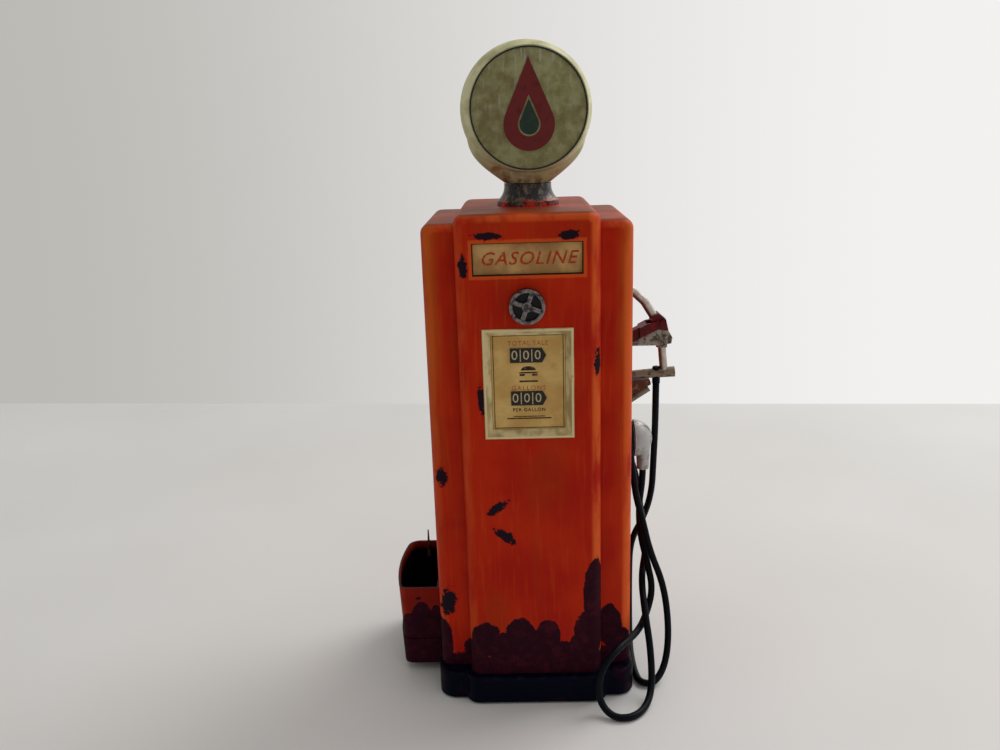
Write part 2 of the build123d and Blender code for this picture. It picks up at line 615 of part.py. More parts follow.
def make_nozzle():
    tube = spout()
    valve = side_plate(VALVE_OUTLINE, NOZZLE_HALF)
    collar_x, collar_r, collar_low, collar_high = STEM_COLLAR
    collar_low, collar_high = (collar_x, SIDE_Y, collar_low), (collar_x, SIDE_Y, collar_high)
    body = side_plate(WEDGE_OUTLINE, NOZZLE_HALF) - valve - rod(collar_low, collar_high, collar_r)
    save("nozzle_spout", tube)
    save("valve_block", valve - tube - across(LEVER_PIVOT, NOZZLE_HALF, LEVER_PIN_R))
    save("nozzle_body", body)
    save("lever_pin", lever_pin())
    bar = rod((BAR_LEFT[0], SIDE_Y, BAR_LEFT[1]), (BAR_RIGHT[0], SIDE_Y, BAR_RIGHT[1]), *BAR_R)
    ferrule = rod((FERRULE_X, SIDE_Y, FERRULE_Z[0]), (FERRULE_X, SIDE_Y, FERRULE_Z[1]), FERRULE_R)
    stem = rod((STEM_TOP[0], SIDE_Y, STEM_TOP[1]), (STEM_FOOT[0], SIDE_Y, STEM_FOOT[1]), STEM_R)
    save("hose_ferrule", fillet(ferrule.faces().sort_by(Axis.Z)[-1].edges(), 0.5))
    save("nozzle_crossbar", bar - ferrule)
    save("nozzle_stem", stem - bar - ferrule)
    save("stem_collar", rod(collar_low, collar_high, collar_r) - stem)


def make_lever():
    reach = NOZZLE_HALF + CHEEK_GAP + CHEEK
    lever = side_plate(ARM_OUTLINE, ARM_HALF) + side_plate(YOKE_OUTLINE, reach)
    for side in (-1, 1):
        lever += side_plate(CHEEK_OUTLINE, CHEEK / 2, SIDE_Y + side * (reach - CHEEK / 2))
    save("nozzle_lever", lever - across(LEVER_PIVOT, reach, LEVER_PIN_R + PIN_FIT))


def make_elbow():
    dome = Pos(ELBOW_X, SIDE_Y, ELBOW_Z) * Sphere(ELBOW_R)
    outer_half = Pos(ELBOW_X + ELBOW_R, SIDE_Y, ELBOW_Z) * Box(2 * ELBOW_R, 2 * ELBOW_R, 2 * ELBOW_R)
    mouth = (OUTLET_X, SIDE_Y, OUTLET_BOTTOM)
    elbow = dome & outer_half
    elbow += rod(mouth, (OUTLET_X, SIDE_Y, ELBOW_Z), OUTLET_R, OUTLET_R + OUTLET_TAPER)
    inside = SIDE_X - WALL
    nut_r, nut_thick = ELBOW_NUT
    elbow += rod((inside - nut_thick - 0.4, SIDE_Y, ELBOW_Z), (ELBOW_X, SIDE_Y, ELBOW_Z), ELBOW_STUB_R)
    elbow -= rod(mouth, (OUTLET_X, SIDE_Y, OUTLET_BORE_TOP), HOSE_R + 0.1)
    save("outlet_elbow", elbow)
    plane = Plane(origin=(inside, SIDE_Y, ELBOW_Z), z_dir=(-1, 0, 0))
    nut = extrude(plane * (RegularPolygon(nut_r, 6) - Circle(ELBOW_STUB_R + SCREW_FIT)), nut_thick)
    save("elbow_nut", nut)


# ---- hose ----
def corner_radii(points):
    """Each corner's arc is 0.45 of its shorter run over the tangent of half the turn."""
    radii = []
    for before, corner, after in zip(points, points[1:], points[2:]):
        run_in, run_out = corner - before, after - corner
        turn = run_in.get_angle(run_out)
        radii.append(0.45 * min(run_in.length, run_out.length) / math.tan(math.radians(turn / 2)))
    return radii


def make_hose():
    points = [Vector(*point) for point in HOSE_ROUTE]
    radii = corner_radii(points)
    line = FilletPolyline(*points, radius=radii)
    section = Plane(origin=points[0], z_dir=points[1] - points[0]) * Circle(HOSE_R)
    hose = sweep(section, path=line)
    print("hose length", round(line.length, 1), "smallest radius", round(min(radii), 1))
    save("hose", hose)


# ---- bucket ----
def bucket_section(inset, height):
    """The bucket's outline at one height: a rectangle whose outboard side bows out."""
    share = (BUCKET_Z[1] - height) / (BUCKET_Z[1] - BUCKET_Z[0])
    x0, x1 = BUCKET_X[0] + inset + BUCKET_TAPER * share, BUCKET_X[1] - inset
    y0, y1 = BUCKET_Y[0] + inset, BUCKET_Y[1] - inset
    bow_r = BUCKET_BOW_R - inset
    outline = Pos((x0 + x1) / 2, (y0 + y1) / 2) * Rectangle(x1 - x0, y1 - y0)
    outline &= Pos(x0 + bow_r, (y0 + y1) / 2) * Circle(bow_r)
    outer = outline.vertices().sort_by(Axis.X)[:2].sort_by(Axis.Y)
    outline = fillet(outer[0], BUCKET_FRONT_ROUND - inset)
    rear = outline.vertices().sort_by(Axis.Y)[-2:].sort_by(Axis.X)[0]
    return Pos(0, 0, height) * fillet(rear, BUCKET_REAR_ROUND - inset)


def bucket_form(inset, z):
    """The bucket's outline lofted between two heights; it narrows a little towards the bottom."""
    return loft([bucket_section(inset, height) for height in z])


def keyhole(y):
    """The slot that a stud's shank slides in, with a round entry below it for the stud's head."""
    wall = (BUCKET_X[1] - BUCKET_WALL - 0.5, BUCKET_X[1] + 0.5)
    half = STUD_R + SLOT_FIT
    entry_z = STUD_Z - LIFT - ENTRY_DROP
    entry = rod((wall[0], y, entry_z), (wall[1], y, entry_z), STUD_HEAD[0] + ENTRY_FIT)
    top = rod((wall[0], y, STUD_Z), (wall[1], y, STUD_Z), half)
    return entry + top + block(wall, (y - half, y + half), (entry_z, STUD_Z))


def make_bucket():
    low, high = BUCKET_Z
    shell = bucket_form(0, (low, high)) - bucket_form(BUCKET_WALL, (low + BUCKET_FLOOR, high + 0.01))
    for y in STUD_Y:
        shell -= keyhole(y)
    band = bucket_form(-BAND_PROUD, (low, BAND_TOP)) - bucket_form(0, (low, BAND_TOP))
    band -= block((BUCKET_X[1], 0), (-40, 40), (0, BAND_TOP + 1))
    x, y = PIN_AT
    save("bucket_shell", shell)
    save("bucket_band", band)
    save("bucket_pin", rod((x, y, PIN_Z[0]), (x, y, PIN_Z[1]), *PIN_R))
    studs = []
    for y in STUD_Y:
        inner = BUCKET_X[1] - BUCKET_WALL - 0.25
        shank = rod((-SIDE_X + WALL, y, STUD_Z), (inner, y, STUD_Z), STUD_R)
        studs.append(shank + rod((inner, y, STUD_Z), (inner - STUD_HEAD[1], y, STUD_Z), STUD_HEAD[0]))
    save("bucket_studs", studs)


make_base()
make_tower()
make_wings()
make_rear_cover()
make_sign()
make_dial()
make_knob()
make_globe()
make_collar()
make_holders()
make_nozzle()
make_lever()
make_elbow()
make_bucket()
make_hose()
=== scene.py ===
import math

import bmesh
import bpy
from mathutils import Matrix, Vector


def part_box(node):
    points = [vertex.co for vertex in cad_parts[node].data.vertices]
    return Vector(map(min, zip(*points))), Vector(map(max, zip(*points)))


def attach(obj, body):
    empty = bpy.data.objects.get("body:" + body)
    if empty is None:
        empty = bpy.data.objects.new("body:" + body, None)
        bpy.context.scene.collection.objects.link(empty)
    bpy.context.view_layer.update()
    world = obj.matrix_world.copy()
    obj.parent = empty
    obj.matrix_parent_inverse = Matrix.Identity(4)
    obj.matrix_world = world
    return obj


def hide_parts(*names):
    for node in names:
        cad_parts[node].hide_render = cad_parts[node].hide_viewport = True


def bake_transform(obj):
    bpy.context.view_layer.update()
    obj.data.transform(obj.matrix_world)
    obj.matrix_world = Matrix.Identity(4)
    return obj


# Looks of the gas pump miniature. Metres, +Z up, front towards -Y.
MM = 0.001

# Camera
CAMERA_AT = (-0.002866, -0.333436, 0.211322)
CAMERA_YAW = -0.025
CAMERA_DOWN = 0.271
CAMERA_ROLL = -0.031
CAMERA_LENS = 32.36
SENSOR = 36.0

# Stage: a pale table top whose far edge is the line behind the object
TABLE_X = 0.62
TABLE_Y = (-0.42, 0.34)
TABLE_THICK = 0.02
TABLE_TURN = math.radians(-4.6)

# Light: pale walls as the world, and one soft window to the right and behind
WALLS_LEFT = (0.50, 0.485, 0.455, 1)
WALLS_RIGHT = (0.90, 0.88, 0.875, 1)
WALLS_TURN = (-0.55, 0.45)         # sideways part of the direction, from the left colour to the right
FRONT_TURN = (-0.6, 0.2)           # depth part of the direction, from the front's strength to the back's
FRONT_STRENGTH = 0.55
WINDOW_AT = (0.75, 0.55, 1.05)
WINDOW_SIZE = 0.80
WINDOW_POWER = 7.0
WINDOW_COLOUR = (1.0, 0.99, 0.97)
LIGHT_AIM = (0, 0, 0.1)

# Hose
HOSE_DIAMETER = 2.64 * MM
HOSE_ROUTE = [
    (0.0438, -0.0020, 0.0825), (0.0438, -0.0020, 0.0750), (0.0423, -0.0028, 0.0650),
    (0.0426, -0.0048, 0.0535), (0.0452, -0.0086, 0.0422), (0.0472, -0.0108, 0.0322),
    (0.0444, -0.0156, 0.0244), (0.0394, -0.0256, 0.0215), (0.0306, -0.0388, 0.0234),
    (0.0244, -0.0434, 0.0186), (0.0223, -0.0438, 0.0106), (0.0236, -0.0454, 0.0036),
    (0.0280, -0.0500, 0.0014), (0.0350, -0.0498, 0.0014), (0.0406, -0.0436, 0.0014),
    (0.0438, -0.0356, 0.0046), (0.0440, -0.0286, 0.0164), (0.0426, -0.0220, 0.0280),
    (0.0428, -0.0080, 0.0360), (0.0460, 0.0004, 0.0444), (0.0448, 0.0030, 0.0550),
    (0.0430, 0.0038, 0.0660), (0.0416, 0.0040, 0.0766), (0.0381, 0.0041, 0.0856),
    (0.0382, 0.0041, 0.0950), (0.0382, 0.0010, 0.0985), (0.0382, -0.0050, 0.0985),
    (0.0382, -0.0081, 0.0950), (0.0382, -0.0081, 0.0875), (0.0395, -0.0072, 0.0795),
    (0.0405, -0.0069, 0.0705), (0.0433, -0.0078, 0.0600), (0.0459, -0.0096, 0.0480),
    (0.0514, -0.0120, 0.0340), (0.0528, -0.0176, 0.0180), (0.0508, -0.0236, 0.0062),
    (0.0456, -0.0296, 0.0015), (0.0402, -0.0288, 0.0015), (0.03895, -0.0218, 0.0015),
    (0.0389, -0.0140, 0.0015), (0.0391, -0.0044, 0.0020), (0.0400, 0.0060, 0.0090),
    (0.0410, 0.0152, 0.0240), (0.0414, 0.0158, 0.0400), (0.0464, 0.0102, 0.0540),
    (0.0489, 0.0074, 0.0660), (0.0489, 0.0046, 0.0800), (0.0488, 0.0014, 0.0930),
    (0.0484, -0.0020, 0.1046), (0.0484, -0.0020, 0.1146),
]

# Paint colours, linear
RED = (0.52, 0.020, 0.0008, 1)
DEEP_RED = (0.43, 0.009, 0.0008, 1)
BROWN_RED = (0.36, 0.034, 0.0020, 1)
ORANGE = (0.74, 0.115, 0.016, 1)
GOLD = (0.50, 0.115, 0.010, 1)
DUSTY = (0.20, 0.050, 0.014, 1)
CHIP = (0.014, 0.0050, 0.011, 1)
RUST_DARK = (0.024, 0.0012, 0.0075, 1)
RUST_LIGHT = (0.060, 0.0040, 0.012, 1)
BLACK = (0.0003, 0.0006, 0.0080, 1)
WORN_BLACK = (0.010, 0.009, 0.018, 1)
CARD_TAN = (0.74, 0.50, 0.180, 1)
SIGN_TAN = (0.66, 0.385, 0.150, 1)
RIM_DARK = (0.030, 0.004, 0.003, 1)
# painted shade inside the bucket
BUCKET_INSIDE_SHADE = (0.0016, 0.0014, 0.0020, 1)
SPILT_RED = (0.50, 0.010, 0.002, 1)
# painted shade on the edges and walls of the sign's opening
REVEAL_SHADE = (0.030, 0.006, 0.004, 1)
PRINT_RED = (0.42, 0.045, 0.012, 1)
DARK_RED = (0.15, 0.007, 0.006, 1)

# Dark chips in the paint: (centre), (half sizes), turn in degrees about Y; millimetres
CHIPS = [
    ((-13.1, -35.5, 78.7), (4.4, 4, 1.5), 37),
    ((-10.2, -35.5, 67.8), (4.7, 4, 1.8), -36),
    ((-32.6, -28.9, 88.6), (2.0, 4, 3.4), 0),
    ((-32.8, -28.9, 38.0), (2.8, 5, 5.2), -8),
    ((-13.8, -35.5, 176.1), (5.2, 4, 1.3), -4),
    ((14.2, -35.5, 176.0), (3.3, 4, 1.5), 0),
    ((-21.8, -35.5, 165.6), (1.4, 4, 3.8), 0),
    ((-16.9, -35.5, 120.2), (1.3, 4, 5.2), 0),
    ((23.6, -34.6, 131.5), (1.3, 3, 4.4), 0),
    ((36.4, -22.0, 152.0), (4, 2.6, 1.4), 0),
    ((36.4, 18.0, 108.0), (4, 3.2, 1.7), 0),
    ((36.4, 8.0, 58.0), (4, 2.0, 3.4), 0),
    ((-36.4, 4.0, 132.0), (4, 3.4, 1.6), 0),
    ((-36.4, -14.0, 84.0), (4, 1.8, 3.0), 0),
    ((23.0, 34.1, 96.0), (1.6, 4, 4.2), 0),
    ((-21.9, 34.1, 158.0), (1.5, 4, 3.2), 0),
    ((4.0, 34.1, 168.0), (4.4, 4, 1.4), 8),
]
# Rust that climbs from the base, as overlapping lumps; millimetres
RUST_LUMPS = [
    ((-18.6, -35.5, 25.5), (5.8, 5, 7.2), 0),
    ((-12.0, -35.5, 21.0), (6.0, 5, 7.5), 0),
    ((-5.6, -35.5, 26.5), (5.8, 5, 8.0), 0),
    ((4.7, -35.5, 26.0), (4.8, 5, 7.2), 0),
    ((10.6, -35.5, 18.6), (5.0, 5, 6.2), 0),
    ((17.0, -35.5, 21.0), (5.0, 5, 7.2), 0),
    ((0.0, -35.5, 21.5), (5.5, 5, 8.0), 0),
    ((22.4, -34.5, 43.0), (4.4, 6, 15.5), 0),
    ((20.5, -35.5, 27.0), (6.2, 6, 10.0), 0),
    ((28.2, -28.9, 27.0), (4.6, 5, 9.0), 0),
    ((32.0, -28.9, 18.0), (5.0, 5, 8.0), 0),
    ((-35.4, -28.9, 20.5), (3.8, 5, 9.5), 0),
    ((-25.4, -33.0, 19.0), (3.4, 5, 6.0), 0),
    ((36.4, -4.0, 22.0), (5, 7.0, 11.0), 0),
    ((36.4, 14.0, 20.0), (5, 6.0, 9.0), 0),
    ((36.4, 28.0, 26.0), (5, 4.0, 16.0), 0),
    ((-36.4, -24.0, 22.0), (5, 6.0, 10.0), 0),
    ((-36.4, 24.0, 24.0), (5, 6.0, 12.0), 0),
    ((-15.0, 34.1, 20.0), (7.5, 6, 9.5), 0),
    ((-4.5, 34.1, 16.5), (6.5, 6, 8.0), 0),
    ((4.5, 34.1, 20.0), (6.0, 6, 11.5), 0),
    ((17.5, 34.1, 18.0), (6.5, 6, 14.0), 0),
]
# Height of the rust's even lower part, millimetres
RUST_LINES = {"tower_shell": 20.0, "left_wing_shell": 15.5, "right_wing_shell": 18.5, "rear_cover": 20.0}
BUCKET_LUMPS = [
    ((-44.8, -15.0, 22.0), (4.6, 5, 8.0), 0),
    ((-50.0, -15.0, 18.0), (3.6, 5, 7.6), 0),
    ((-39.2, -15.0, 20.0), (3.2, 5, 8.4), 0),
    ((-54.0, -6.0, 18.0), (5, 6.5, 8.0), 0),
    ((-54.0, 3.5, 20.0), (5, 4.5, 9.0), 0),
    ((-54.0, 12.0, 15.0), (5, 6.0, 6.5), 0),
    ((-54.0, 22.0, 18.0), (5, 5.5, 11.0), 0),
]
BUCKET_LINE = 16.0
INSIDE_SHADE_TOP = 35.4 * MM       # painted shade: the bucket is painted nearly black inside, below this height
BUCKET_CHIPS = [((-46.0, -15.0, 32.0), (1.2, 3, 0.8), 0)]

FAR = 9.0                  # the field of a surface that no spot touches

# Paint that depends on places
SIGN_OPENING = (0.0, 168.25 * MM, 18.4 * MM, 5.25 * MM)    # middle X and Z, half width, half height
SPILL = [((1.0, -8.0, 183.2), (14.0, 7.5, 2.4), 0)]    # red that ran from the collar's foot; millimetres
SMEAR = [((-10.0, -6.0, 196.4), (3.0, 4, 1.6), 20)]    # rust smear on the globe's neck; millimetres
# Pairs of places: the effect is absent at the first and full at the second
WING_BANDS_X = (28.5 * MM, 36.0 * MM)
WING_BANDS_Z = (40 * MM, 140 * MM)
COLLAR_FOOT_Z = (186.2 * MM, 184.6 * MM)
KNOB_PROUD_Y = (-37.0 * MM, -38.2 * MM)
GLOBE_LOW_Z = (216 * MM, 200 * MM)
GLOBE_NECK_Z = (202.5 * MM, 196.5 * MM)
# painted reflection: the lens's pale streaks grow from the first height to the second
LENS_GLARE_Z = (207 * MM, 230 * MM)

# Sign and dial print; the dial's layout is in millimetres
SIGN_FACE_Y = -34.3 * MM
SIGN_MIDDLE = (0.0, 168.2 * MM)
SIGN_LETTER = 6.2 * MM
DIAL_FACE_Y = -33.2 * MM
DIAL_X = -0.5 * MM
PLAQUE_FACE_Y = -33.6 * MM
PLAQUE_Z = (134.7 * MM, 119.3 * MM)
DIGIT_PITCH = 4.0 * MM
DIGIT_SHIFT = -0.7 * MM    # the digits' middle, from the dial's
DIAL_BORDER = (12.1, 108.6, 141.6)     # half width, low Z, high Z
BORDER_LINE = 0.25
INK = 0.06 * MM            # thickness of a printed layer
DOUBLES = 0.001 * MM       # points closer than this are one point

# Globe
GLOBE_AT = Vector((1.0 * MM, 0, 216.5 * MM))
GLOBE_TURN = math.radians(6.5)
GLOBE_FACE = 8.0 * MM
DROP_RADIUS = 9.0 * MM
DROP_REACH = 22.5 * MM
DROP_LOW = -5.2 * MM
HEART_SCALE = 0.38
HEART_THICK = 0.2 * MM


# ---- stage, light and camera ----
def add_camera():
    """A camera that is turned, tipped down and rolled about its own axis."""
    forward = Vector((math.sin(CAMERA_YAW) * math.cos(CAMERA_DOWN),
                      math.cos(CAMERA_YAW) * math.cos(CAMERA_DOWN), -math.sin(CAMERA_DOWN)))
    level = Vector((math.cos(CAMERA_YAW), -math.sin(CAMERA_YAW), 0))
    upright = level.cross(forward)
    right = level * math.cos(CAMERA_ROLL) + upright * math.sin(CAMERA_ROLL)
    up = upright * math.cos(CAMERA_ROLL) - level * math.sin(CAMERA_ROLL)
    data = bpy.data.cameras.new("camera")
    data.lens = CAMERA_LENS
    data.sensor_width = SENSOR
    data.clip_start = 0.01
    camera = bpy.data.objects.new("camera", data)
    turned = Matrix((right, up, -forward)).transposed().to_4x4()
    camera.matrix_world = Matrix.Translation(CAMERA_AT) @ turned
    bpy.context.collection.objects.link(camera)
    bpy.context.scene.camera = camera


def add_window():
    data = bpy.data.lights.new("window", "AREA")
    data.shape = "DISK"
    data.size = WINDOW_SIZE
    data.energy = WINDOW_POWER
    data.color = WINDOW_COLOUR
    light = bpy.data.objects.new("window", data)
    light.location = WINDOW_AT
    light.rotation_euler = (Vector(LIGHT_AIM) - Vector(WINDOW_AT)).to_track_quat("-Z", "Y").to_euler()
    bpy.context.collection.objects.link(light)


def add_room():
    """Pale walls all round as the world's light: brighter to the right, dimmer in front."""
    world = bpy.data.worlds.new("room")
    bpy.context.scene.world = world
    world.use_nodes = True
    tree = world.node_tree
    background = tree.nodes["Background"]
    direction = tree.nodes.new("ShaderNodeTexCoord").outputs["Generated"]
    axes = tree.nodes.new("ShaderNodeSeparateXYZ")
    tree.links.new(direction, axes.inputs[0])
    side = tree.nodes.new("ShaderNodeMapRange")
    side.interpolation_type = "SMOOTHSTEP"
    side.inputs["From Min"].default_value, side.inputs["From Max"].default_value = WALLS_TURN
    tree.links.new(axes.outputs["X"], side.inputs["Value"])
    walls = tree.nodes.new("ShaderNodeMix")
    walls.data_type = "RGBA"
    walls.inputs[6].default_value = WALLS_LEFT
    walls.inputs[7].default_value = WALLS_RIGHT
    tree.links.new(side.outputs[0], walls.inputs[0])
    tree.links.new(walls.outputs[2], background.inputs["Color"])
    front = tree.nodes.new("ShaderNodeMapRange")
    front.inputs["From Min"].default_value, front.inputs["From Max"].default_value = FRONT_TURN
    front.inputs["To Min"].default_value = FRONT_STRENGTH
    tree.links.new(axes.outputs["Y"], front.inputs["Value"])
    tree.links.new(front.outputs[0], background.inputs["Strength"])


def add_table():
    table = bpy.data.meshes.new("table")
    form = bmesh.new()
    bmesh.ops.create_cube(form, size=1.0)
    depth = TABLE_Y[1] - TABLE_Y[0]
    bmesh.ops.scale(form, verts=form.verts, vec=(2 * TABLE_X, depth, TABLE_THICK))
    bmesh.ops.translate(form, verts=form.verts, vec=(0, sum(TABLE_Y) / 2, -TABLE_THICK / 2))
    bmesh.ops.rotate(form, verts=form.verts, matrix=Matrix.Rotation(TABLE_TURN, 3, "Z"))
    form.to_mesh(table)
    form.free()
    table.materials.append(table_white())
    piece = bpy.data.objects.new("table", table)
    bpy.context.collection.objects.link(piece)


# ---- materials ----
class Shader:
    """One node material on the Principled shader. Each method adds a node and returns its output."""

    def __init__(self, name):
        self.material = bpy.data.materials.new(name)
        self.material.use_nodes = True
        self.tree = self.material.node_tree
        self.surface = self.tree.nodes["Principled BSDF"]
        coordinates = self.tree.nodes.new("ShaderNodeTexCoord")
        self.place = coordinates.outputs["Object"]
        self.normal = coordinates.outputs["Normal"]

    def node(self, kind, inputs, **settings):
        made = self.tree.nodes.new("ShaderNode" + kind)
        for key, value in settings.items():
            setattr(made, key, value)
        for key, value in inputs.items():
            if isinstance(value, bpy.types.NodeSocket):
                self.tree.links.new(value, made.inputs[key])
            else:
                made.inputs[key].default_value = value
        return made

    def math(self, operation, a, b=0.0):
        return self.node("Math", {0: a, 1: b}, operation=operation).outputs[0]

    def vector(self, operation, a, b=(0, 0, 0)):
        return self.node("VectorMath", {0: a, 1: b}, operation=operation).outputs[0]

    def axes(self, vector):
        return self.node("SeparateXYZ", {0: vector}).outputs

    def fade(self, value, low, high):
        """0 at low, 1 at high, smooth in between. Low may be the larger one."""
        if low > high:
            ends = {"From Min": high, "From Max": low, "To Min": 1.0, "To Max": 0.0}
        else:
            ends = {"From Min": low, "From Max": high}
        made = self.node("MapRange", {"Value": value, **ends}, interpolation_type="SMOOTHSTEP")
        return made.outputs[0]

    def noise(self, size, detail=3.0, stretch=(1, 1, 1), shift=0.0, rough=0.55):
        """Noise whose lumps are about size millimetres, longer along an axis whose stretch is over 1."""
        scale = [1 / (size * MM * k) for k in stretch]
        place = self.vector("ADD", self.vector("MULTIPLY", self.place, scale), (shift, shift, shift))
        settings = {"Vector": place, "Scale": 1.0, "Detail": detail, "Roughness": rough}
        return self.node("TexNoise", settings).outputs[0]

    def mix(self, factor, a, b):
        return self.node("Mix", {0: factor, 6: a, 7: b}, data_type="RGBA").outputs[2]

    def both(self, a, b):
        return self.math("MULTIPLY", a, b)

    def nearest(self, spots, place):
        """How far a place is from the nearest of the spots: 1 on a spot's outline, less inside it."""
        field = FAR
        for centre, size, turn in spots:
            local = self.node("Mapping", {
                "Vector": place, "Location": [c * MM for c in centre], "Scale": [s * MM for s in size],
                "Rotation": (0, -math.radians(turn), 0)}, vector_type="TEXTURE").outputs[0]
            length = self.node("VectorMath", {0: local}, operation="LENGTH").outputs["Value"]
            field = self.math("MINIMUM", field, length)
        return field

    def edges(self):
        """1 where a rounded edge turns between two faces of the cabinet, 0 on its flat faces."""
        x, y, z = self.axes(self.vector("ABSOLUTE", self.normal))
        pairs = self.math("ADD", self.both(x, y), self.math("ADD", self.both(x, z), self.both(y, z)))
        return self.fade(pairs, 0.10, 0.42)

    def finish(self, colour, roughness, gloss=0.5, metal=0.0, height=None, depth=0.1):
        """Colour and roughness may be nodes; gloss and metal are numbers; depth is in millimetres."""
        for key, value in (("Base Color", colour), ("Roughness", roughness)):
            if isinstance(value, bpy.types.NodeSocket):
                self.tree.links.new(value, self.surface.inputs[key])
            else:
                self.surface.inputs[key].default_value = value
        self.surface.inputs["Specular IOR Level"].default_value = gloss
        self.surface.inputs["Metallic"].default_value = metal
        if height is not None:
            bump = self.node("Bump", {"Height": height, "Distance": depth * MM, "Strength": 1.0})
            self.tree.links.new(bump.outputs[0], self.surface.inputs["Normal"])
        return self.material


def table_white():
    s = Shader("table_white")
    cloud = s.noise(160, 2)
    return s.finish(s.mix(cloud, (0.67, 0.665, 0.645, 1), (0.79, 0.79, 0.78, 1)), 0.55, 0.35)


def reaching(spots, node):
    """The spots that touch a CAD node's box."""
    low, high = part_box(node)

    def touches(spot):
        centre, size, _ = spot
        return all(low[k] < (centre[k] + size[k]) * MM and (centre[k] - size[k]) * MM < high[k]
                   for k in range(3))

    return [spot for spot in spots if touches(spot)]


def base_coat(s, brush, cloud):
    """Orange red, deeper and browner in clouds, with upright brush marks."""
    colour = s.mix(s.fade(cloud, 0.38, 0.66), RED, DEEP_RED)
    brown = s.fade(s.noise(17, 3, stretch=(1, 1, 2.6), shift=7.7), 0.50, 0.68)
    colour = s.mix(s.both(brown, 0.42), colour, BROWN_RED)
    return s.mix(s.both(s.fade(brush, 0.50, 0.74), 0.16), colour, ORANGE)


def wing_bands(s, colour):
    """Golden upright bands on the outer and upper part of a wing, weaker on its side."""
    place = s.axes(s.place)
    bands = s.fade(s.noise(11, 3, stretch=(1, 1, 5), shift=4.1), 0.36, 0.62)
    bands = s.both(bands, s.fade(place["Z"], *WING_BANDS_Z))
    bands = s.both(bands, s.fade(s.math("ABSOLUTE", place["X"]), *WING_BANDS_X))
    side = s.fade(s.math("ABSOLUTE", s.axes(s.normal)["X"]), 0.60, 0.95)
    strength = s.math("SUBTRACT", 0.85, s.both(side, 0.50))
    return s.mix(s.both(bands, strength), colour, GOLD)


def rubbed_and_highlit_edges(s, colour):
    """Orange on the rounded edges, as rubbed paint and as painted highlight; most on those that look to the
    right, towards the light.
    """
    rub = s.fade(s.noise(7, 4, stretch=(1, 1, 3.5), shift=1.9), 0.34, 0.58)
    # painted highlight: edges that look to the right get more of the lighter orange
    strength = s.math("ADD", s.both(s.fade(s.axes(s.normal)["X"], -0.3, 0.3), 0.5), 0.35)
    return s.mix(s.both(s.edges(), s.both(rub, strength)), colour, ORANGE)


def opening_highlight_and_shade(s, colour):
    """An orange band round the sign's opening as painted highlight of a raised lip, and painted shade, dark
    brown, on the opening's own edges.
    """
    x, z, half, tall = SIGN_OPENING
    place = s.axes(s.place)
    beside = s.math("SUBTRACT", s.math("ABSOLUTE", s.math("SUBTRACT", place["X"], x)), half)
    above = s.math("SUBTRACT", s.math("ABSOLUTE", s.math("SUBTRACT", place["Z"], z)), tall)
    outside = s.math("MAXIMUM", beside, above)
    ragged = s.math("ADD", outside, s.both(s.noise(5, 3, shift=7.1), 0.9 * MM))
    to_front = s.fade(s.axes(s.normal)["Y"], -0.5, -0.9)
    lip_highlight = s.both(s.fade(ragged, 2.1 * MM, 1.5 * MM), to_front)
    # painted highlight: the lighter orange band round the opening
    colour = s.mix(s.both(lip_highlight, 0.6), colour, ORANGE)
    in_front = s.fade(place["Y"], -30 * MM, -31 * MM)
    # painted shade: dark brown along the opening's edge and in its reveal
    edge = s.both(s.fade(outside, 0.30 * MM, 0.12 * MM), in_front)
    return s.mix(edge, colour, REVEAL_SHADE)


def spill_mask(s):
    """1 where red ran from the collar's foot over the tower's top."""
    field = s.math("ADD", s.nearest(SPILL, s.place), s.both(s.noise(4.0, 3, shift=6.3), 0.9))
    return s.fade(field, 1.45, 1.25)


def chip_masks(s, chips):
    """1 on the dark chips, and 1 on the thin deeper line round them."""
    torn = s.both(s.noise(2.0, 3, shift=8.3, rough=0.6), 2.0)
    field = s.math("ADD", s.nearest(chips, s.place), torn)
    chip = s.fade(field, 2.04, 1.94)
    return chip, s.both(s.fade(field, 2.36, 2.08), s.math("SUBTRACT", 1.0, chip))


def rust_mask(s, lumps, line):
    """1 on the rust lumps and below the line, with a ragged edge."""
    below = s.math("DIVIDE", s.axes(s.place)["Z"], line * MM)
    field = s.math("MINIMUM", s.nearest(lumps, s.place), below)
    field = s.math("ADD", field, s.both(s.noise(2.6, 4, shift=5.3, rough=0.65), 0.34))
    field = s.math("ADD", field, s.both(s.noise(7.0, 3, shift=2.2), 0.36))
    return s.fade(field, 1.40, 1.33)


def inside_shade_mask(s, node):
    """Painted shade: 1 on the inner faces of a bucket's shell, below its rim, which are painted nearly
    black.
    """
    outward = s.vector("SUBTRACT", s.place, sum(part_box(node), Vector()) / 2)
    facing = s.node("VectorMath", {0: outward, 1: s.normal}, operation="DOT_PRODUCT")
    inner = s.fade(facing.outputs["Value"], 0.0, -0.002)
    return s.both(inner, s.fade(s.axes(s.place)["Z"], INSIDE_SHADE_TOP, INSIDE_SHADE_TOP - 3 * MM))


